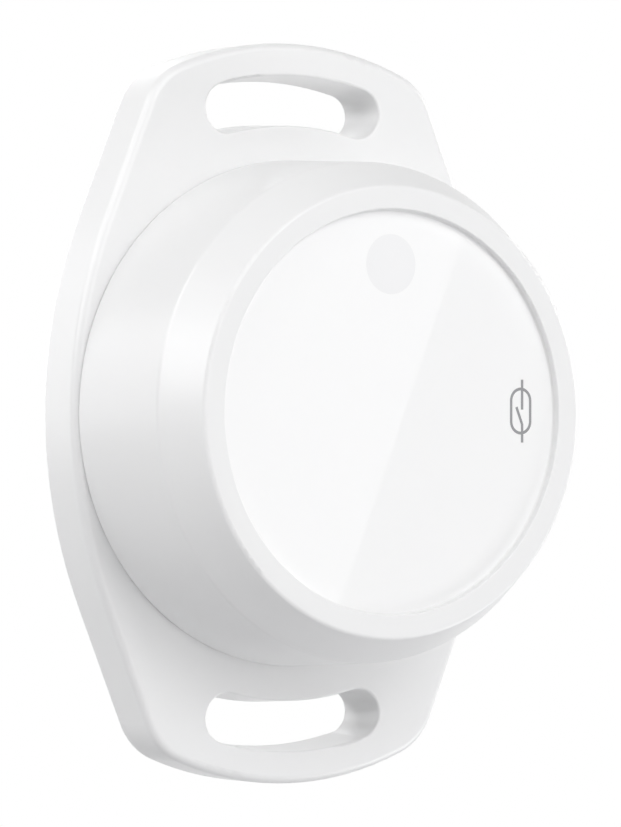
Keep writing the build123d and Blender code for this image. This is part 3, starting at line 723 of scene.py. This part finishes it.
contact_reach = 0.95 * mm
lead_metal = Finish("lead_metal", {"Metallic": 1.0})
lead_patches = lead_metal.noise(0.5 * mm, 3.0, (1, 1, 4))
contact = lead_metal.z.within(0, contact_reach, soft=0.03 * mm)
lead_colour = lead_metal.between(lead_patches, (0.56, 0.53, 0.49), (0.66, 0.63, 0.59))
lead_metal.feed("Base Color", lead_metal.between(contact, lead_colour, (0.90, 0.89, 0.88)))
lead_metal.feed("Roughness", 0.34 - 0.1 * lead_patches - 0.14 * contact)
lead_metal.relief(lead_metal.noise(0.06 * mm, 2.0, (1, 1, 12)), 0.003 * mm)
for name in ("reed_leads", "reed_blade_lower", "reed_blade_upper"):
    cover_node(name, lead_metal)

lead_low, lead_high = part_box("reed_leads")
lead_thickness = lead_high.x - lead_low.x
lead_x = front_middle(lead_low, lead_high)[0]
lead_fillet = 0.5 * mm
lead_rise = 0.55 * mm
lead_joints = []
for z in (lead_low.z + lead_thickness / 2, lead_high.z - lead_thickness / 2):
    lead_joints += solder_joints((lead_x, z), lead_thickness, lead_thickness, lead_fillet, lead_rise)
surface("lead_solder", lead_joints, solder, "base")


# Board screws
# Two short thread-forming screws with a hexagon socket and a knurled head, which hold the board on the
# base's posts. Like the cover's four, they are of bright stainless steel.
screw_steel = Finish("screw_steel", {"Metallic": 1.0})
screw_steel.patched(0.8 * mm, (0.62, 0.61, 0.60), (0.54, 0.53, 0.52), roughness=(0.24, 0.38), detail=4.0)
screw_steel.relief(screw_steel.noise(0.05 * mm, 3.0), 0.002 * mm)


def full_turn(columns):
    """The angles of some columns, evenly round a circle."""
    return np.arange(columns) / columns * 2 * math.pi


def turned(middle, rows, turn):
    """Rows of a radius and a height y, each one value or one for each turn, round an axis along y."""
    radii, heights = [np.stack([value + 0 * turn for value in column]) for column in zip(*rows)]
    return np.stack([middle[0] + radii * np.cos(turn), heights, middle[1] + radii * np.sin(turn)], axis=-1)


def thread_groove(place, turn):
    """How deep a thread's groove is, from 0 to 1: clip(1.6 * |2 * share - 1| - 0.3).

    The place is counted in pitches along the axis. The share is the place less the turn, without its
    whole number.
    """
    share = (place - turn / (2 * math.pi)) % 1
    return np.clip(1.6 * np.abs(2 * share - 1) - 0.3, 0, 1)


def screw(middle, ys, head_radius, shank_radius, socket_radius, pitch, columns=48):
    """A socket screw along y, through the heights ys of its head, bearing face and tip.

    The hexagon of the socket is r(turn) = socket_radius * cos 30 / cos(turn mod 60 - 30). The thread cuts
    inwards from the shank by its depth times the groove, and fades in over its first pitch.
    """
    socket_depth, socket_point, socket_lip = 0.6 * mm, 0.7 * mm, 0.06 * mm
    knurl_depth, edge, land = 0.03 * mm, 0.22 * mm, 0.1 * mm
    thread_depth, tip_length = 0.18 * mm, 0.25 * mm
    head, bearing, tip = ys
    way = math.copysign(1.0, tip - head)
    turn = full_turn(columns)
    hexagon = math.cos(math.pi / 6) / np.cos(turn % (math.pi / 3) - math.pi / 6) * socket_radius
    knurl = head_radius - knurl_depth * (np.arange(columns) % 2)
    rows = [(0, head + way * socket_point), (hexagon, head + way * socket_depth)]
    rows += [(hexagon, head + way * socket_lip), (hexagon + socket_lip, head)]
    for rounding in np.linspace(0, math.pi / 2, 4):
        out, down = edge * (1 - math.sin(rounding)), edge * (1 - math.cos(rounding))
        rows.append((head_radius - out, head + way * down))
    rows += [(knurl, head + way * (edge + land)), (knurl, bearing - way * land)]
    rows += [(head_radius - land, bearing), (shank_radius, bearing)]
    for along in np.arange(0, abs(tip - bearing) - tip_length, pitch / 6)[1:]:
        cut = thread_depth * thread_groove(along / pitch, turn) * min(1.0, along / pitch)
        rows.append((shank_radius - cut, bearing + way * along))
    rows += [(shank_radius - thread_depth - land, tip), (0, tip)]
    return turned(middle, rows, turn)


board_screw_low, board_screw_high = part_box("board_screws")
board_head_radius = 1.6 * mm
board_shank_radius = 0.8 * mm
board_socket_radius = 0.8 * mm
board_screw_radii = (board_head_radius, board_shank_radius, board_socket_radius)
board_screw_ys = (board_screw_low.y, board_face, board_screw_high.y)
forming_pitch = 0.5 * mm
board_screws = []
for place in (
    (board_screw_low.x + board_head_radius, board_screw_high.z - board_head_radius),
    (board_screw_high.x - board_head_radius, board_screw_low.z + board_head_radius),
):
    board_screws.append(screw(place, board_screw_ys, *board_screw_radii, forming_pitch))
surface("board_screw_pair", board_screws, screw_steel, "base", replaced=("board_screws",))


# Cover screws
# Four longer screws come through the base from behind. Their heads lie deep in counterbores in its back,
# and their machine threads end in the cover's brass inserts.
cover_screw_low, cover_screw_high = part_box("cover_screws")
cover_head_radius = 1.9 * mm
cover_shank_radius = 1.0 * mm
cover_socket_radius = 0.95 * mm
cover_head_height = 1.4 * mm
cover_screw_radii = (cover_head_radius, cover_shank_radius, cover_socket_radius)
cover_screw_ys = (cover_screw_high.y, cover_screw_high.y - cover_head_height, cover_screw_low.y)
machine_pitch = 0.4 * mm
corner = cover_screw_high.x - cover_head_radius
corner_places = [(x * corner, z * corner) for x in (-1, 1) for z in (-1, 1)]
cover_screws = [screw(place, cover_screw_ys, *cover_screw_radii, machine_pitch) for place in corner_places]
surface("cover_screw_set", cover_screws, screw_steel, "base", replaced=("cover_screws",))


# Cover
# The stepped cap over the electronics, moulded in the same white as the base. Its side has draft, and a
# soft shoulder, a bevel and a flat rim lead to the label's recess.
cover_node("cover", housing)


# Brass inserts
# Four knurled bushes, pressed hot into the cover's bosses. Three bands of slanted teeth grip the plastic,
# and the two grooves between them keep the bush from coming out.
insert_low, insert_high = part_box("cover_inserts")
insert_radius = 1.6 * mm
insert_bands = 5
tooth_depth = 0.1 * mm
groove_radius = insert_radius - 0.2 * mm
mouth_radius = insert_radius - 0.12 * mm
bore_radius = 1.05 * mm
bore_thread_depth = 0.15 * mm
brass = Finish("brass", {"Metallic": 1.0})
brass.patched(0.5 * mm, (0.78, 0.57, 0.26), (0.68, 0.48, 0.21), roughness=(0.24, 0.38), detail=3.0)
brass.relief(brass.noise(0.05 * mm, 3.0), 0.002 * mm)


def insert(middle, columns=80, teeth=20, thread_rows=61):
    """A bush with a thread inside, and teeth of radius - tooth_depth * |2 * share - 1| on its lands.

    The share counts teeth round the bush, slanted by half a tooth for each band.
    """
    turn = full_turn(columns)
    band_height = (insert_high.y - insert_low.y) / insert_bands
    rows = [(mouth_radius, insert_high.y)]
    for band in range(insert_bands):
        for step in (0.03, 0.25, 0.5, 0.75, 0.97):
            place = band + step
            share = (turn / (2 * math.pi) * teeth + place / 2) % 1
            toothed = insert_radius - tooth_depth * np.abs(2 * share - 1)
            rows.append((toothed if band % 2 == 0 else groove_radius, insert_high.y - place * band_height))
    rows.append((mouth_radius, insert_low.y))
    for height in np.linspace(insert_low.y, insert_high.y, thread_rows):
        rows.append((bore_radius + bore_thread_depth * thread_groove(height / machine_pitch, turn), height))
    return turned(middle, rows, turn)


inserts = [insert(place) for place in corner_places]
surface("insert_set", inserts, brass, "cover", rings=True, replaced=("cover_inserts",))


# Light pipe
# One clear moulding that carries the status light, and the room's light on its way in, between the board
# and the window. Its plastic is a little milky, which spreads the light over the window.
clear_guide = Finish("clear_guide", {"IOR": 1.585, "Transmission Weight": 0.72})
clear_guide.patched(1.5 * mm, (0.97, 0.98, 0.98), (0.94, 0.95, 0.96), roughness=(0.04, 0.1))
cover_node("light_pipe", clear_guide)


# Front label
# A disc of clear film, printed white on its back and stuck into the recess, so that its face is as
# glossy as glass. Squeezed-out glue fills the gap round it, and a window lets light through to the board.
label = Finish("label_film", {"IOR": 1.5, "Roughness": 0.005})
label.patched(20 * mm, (0.97, 0.97, 0.97), (0.965, 0.965, 0.968))
cover_node("front_label", label)

label_low, label_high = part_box("front_label")
label_front = label_low.y
glue = Finish("label_glue", {"IOR": 1.5})
glue.patched(2 * mm, (0.88, 0.88, 0.88), (0.86, 0.86, 0.86), roughness=(0.5, 0.6))


def glue_bead(name, middle, radius, section, columns=240):
    """A ring of glue round a disc, with a section of reaches past its edge and depths under its face."""
    rows = [(radius + reach, label_front + depth) for reach, depth in section]
    bead = turned(middle, rows, full_turn(columns))
    surface(name, [bead], glue, "cover", rings=True)


# The glue is drawn up the recess's wall in a hollow quarter circle, and lies flush round the window.
glue_sunk = 0.004 * mm
glue_depth = 0.4 * mm
hollow_radius = 0.24 * mm
label_overlap = 0.18 * mm
recess_gap = hollow_radius - label_overlap
glue_root = (-0.04 * mm, 0.1 * mm)
hollow_turn = np.linspace(0, math.pi / 2, 7)
hollow_reach = hollow_radius * np.sin(hollow_turn) - label_overlap
hollow_depth = (hollow_radius + glue_sunk) * np.cos(hollow_turn) - hollow_radius
hollow_back = [(recess_gap, glue_depth), (0.0, glue_depth), glue_root]
glue_bead("label_glue_bead", (0.0, 0.0), label_high.x, [*zip(hollow_reach, hollow_depth), *hollow_back])
window_low, window_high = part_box("window_lens")
window_middle = (0.0, (window_low.z + window_high.z) / 2)
flush_inner, flush_outer = -0.01 * mm, 0.03 * mm
flush_front = [(flush_inner, glue_sunk), (flush_outer, glue_sunk)]
flush_back = [(flush_outer, glue_depth), (flush_inner, glue_depth)]
glue_bead("window_glue_bead", window_middle, window_high.x, flush_front + flush_back)

window = Finish("window", {"IOR": 1.5, "Roughness": 0.03})
window.patched(3 * mm, (0.91, 0.91, 0.915), (0.90, 0.90, 0.91))
cover_node("window_lens", window)


# Contact symbol
# The usual sign for a reed contact, a capsule with a lead at each end and an open blade, screen printed
# in grey beside the switch that it stands for. The print is a hundredth of a millimetre thick.
symbol = Finish("symbol_print", {"IOR": 1.5, "Roughness": 0.12})
symbol.patched(0.4 * mm, (0.32, 0.32, 0.33), (0.33, 0.33, 0.34))
symbol_stroke = 0.28 * mm
capsule_middle = (15.22 * mm, 0.17 * mm)
capsule_width = 2.55 * mm
capsule_length = 4.52 * mm
capsule_ink = 0.01 * mm
lead_ink = 0.012 * mm


def capsule_path(middle, width, length, steps=24):
    """Points round a capsule: half circles above and below, joined by straight sides."""
    radius = (width - symbol_stroke) / 2
    reach = (length - symbol_stroke) / 2 - radius
    turn = np.linspace(0, math.pi, steps)
    ring = radius * np.column_stack([np.cos(turn), np.sin(turn)])
    return np.concatenate([ring + (0, reach), -ring - (0, reach)]) + middle


capsule = capsule_path(capsule_middle, capsule_width, capsule_length)
capsule = stroke(capsule, label_front, symbol_stroke, capsule_ink, closed=True)
surface("symbol_capsule", [capsule], symbol, "cover", rings=True)
upper_lead = np.array([(15.39, 3.19), (15.39, 0.31)]) * mm
lower_lead = np.array([(15.39, -2.86), (15.39, -1.11), (14.71, 0.55)]) * mm
symbol_leads = [stroke(path, label_front, symbol_stroke, lead_ink) for path in (upper_lead, lower_lead)]
surface("symbol_leads", symbol_leads, symbol, "cover")


# Studio
# A plain pale floor well below the sensor, white beyond it, and soft lamps. The large front lamp is
# turned a little, and its edge is what divides the reflection in the label.
floor_drop = 0.4
floor_reach = 6.0
floor_corners = [(x * floor_reach, y * floor_reach) for x, y in ((-1, -1), (1, -1), (1, 1), (-1, 1))]
floor_mesh = bpy.data.meshes.new("floor")
floor_mesh.from_pydata([(x, y, -floor_drop) for x, y in floor_corners], [], [(0, 1, 2, 3)])
floor = bpy.data.objects.new("floor", floor_mesh)
bpy.context.scene.collection.objects.link(floor)
floor_finish = Finish("floor", {"Roughness": 0.9})
floor_finish.patched(0.3, (0.68, 0.68, 0.69), (0.70, 0.70, 0.71))
floor_mesh.materials.append(floor_finish.material)


def seen_directly(network):
    """1 for camera, glossy and transmission rays, and 0 for the rays that light the sensor."""
    kinds = ("Is Camera Ray", "Is Glossy Ray", "Is Transmission Ray")
    camera_ray, glossy_ray, clear_ray = [network.node("ShaderNodeLightPath", output=kind) for kind in kinds]
    return camera_ray.math("MAXIMUM", glossy_ray).math("MAXIMUM", clear_ray)


# Seen directly, the floor fades to pure white between these two radii.
near_radius = 0.4
far_radius = 1.2
pure_white = (1.0, 1.0, 1.0, 1.0)
far = floor_finish.node("ShaderNodeVectorMath", {"operation": "LENGTH"}, {0: floor_finish.place}, output=1)
ends = {"Value": far, "From Min": near_radius, "From Max": far_radius}
whitened = seen_directly(floor_finish) * floor_finish.node("ShaderNodeMapRange", {}, ends)
matt = Reading(floor_finish, floor_finish.shader.outputs[0])
white = floor_finish.node("ShaderNodeEmission", {}, {"Color": pure_white, "Strength": 1.0})
mixed = floor_finish.node("ShaderNodeMixShader", {}, {0: whitened, 1: matt, 2: white})
floor_output = floor_finish.tree.nodes["Material Output"]
floor_finish.tree.links.new(mixed.socket, floor_output.inputs["Surface"])

world = bpy.data.worlds.new("studio")
bpy.context.scene.world = world
world.use_nodes = True
surroundings = Network(world.node_tree)
background = world.node_tree.nodes["Background"]
background.inputs["Color"].default_value = pure_white
world.node_tree.links.new(seen_directly(surroundings).socket, background.inputs["Strength"])


def towards(azimuth, elevation):
    """The unit vector from the sensor towards an azimuth and an elevation in degrees."""
    turn, rise = math.radians(azimuth), math.radians(elevation)
    return Vector((math.sin(turn) * math.cos(rise), -math.cos(turn) * math.cos(rise), math.sin(rise)))


def lamp(name, azimuth, elevation, distance, size, watts, roll=0.0):
    """A square soft lamp that points at the sensor from an azimuth and an elevation in degrees."""
    light = bpy.data.lights.new(name, "AREA")
    light.shape = "SQUARE"
    light.size = size
    light.energy = watts
    holder = bpy.data.objects.new(name, light)
    bpy.context.scene.collection.objects.link(holder)
    back = towards(azimuth, elevation)
    holder.location = back * distance
    holder.rotation_mode = "QUATERNION"
    roll_turn = Matrix.Rotation(math.radians(roll), 3, "Z").to_quaternion()
    holder.rotation_quaternion = back.to_track_quat("Z", "Y") @ roll_turn


# Each lamp's azimuth and elevation, its distance and size in metres, and its watts.
lamp("front_lamp", 15.05, 7.6, 0.97, 0.73, 1.55, roll=-17.0)
lamp("centre_lamp", 2, 12, 1.0, 0.5, 1.15)
lamp("upper_lamp", 0, 35, 1.0, 0.5, 2.8)
lamp("upper_right_lamp", 30, 35, 1.0, 0.5, 1.15)
lamp("low_front_lamp", 0, -20, 1.0, 0.25, 0.25)
lamp("left_front_lamp", -60, 35, 1.0, 0.5, 2.45)
lamp("left_lamp", -90, 20, 1.0, 0.5, 2.6)
lamp("rear_left_lamp", -120, 35, 1.0, 0.5, 2.6)
lamp("low_rear_lamp", -150, 10, 1.0, 0.5, 1.3)
lamp("right_lamp", 90, 10, 1.0, 0.5, 2.4)
lamp("low_right_lamp", 60, -30, 0.55, 0.2, 0.62)
lamp("back_lamp", 170, 15, 1.0, 0.5, 3.0)

# The camera's place in degrees and metres, and its focal length in millimetres.
camera_azimuth = -34.04
camera_elevation = -0.43
camera_distance = 0.48175
camera_aside = -0.008055
camera_rise = -0.000135
focal_length = 222.1
camera_back = towards(camera_azimuth, camera_elevation)
camera_right = towards(camera_azimuth + 90, 0)
camera_up = camera_back.cross(camera_right)
front_centre = Vector((0.0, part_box("cover")[0].y, 0.0))
camera = bpy.data.objects.new("camera", bpy.data.cameras.new("camera"))
bpy.context.scene.collection.objects.link(camera)
camera.data.lens = focal_length
camera.data.clip_start = 0.01
camera.location = front_centre + camera_back * camera_distance
camera.location += camera_right * camera_aside + camera_up * camera_rise
camera.rotation_mode = "QUATERNION"
camera.rotation_quaternion = Matrix((camera_right, camera_up, camera_back)).transposed().to_quaternion()
bpy.context.scene.camera = camera
bpy.context.scene.view_settings.view_transform = "Standard"
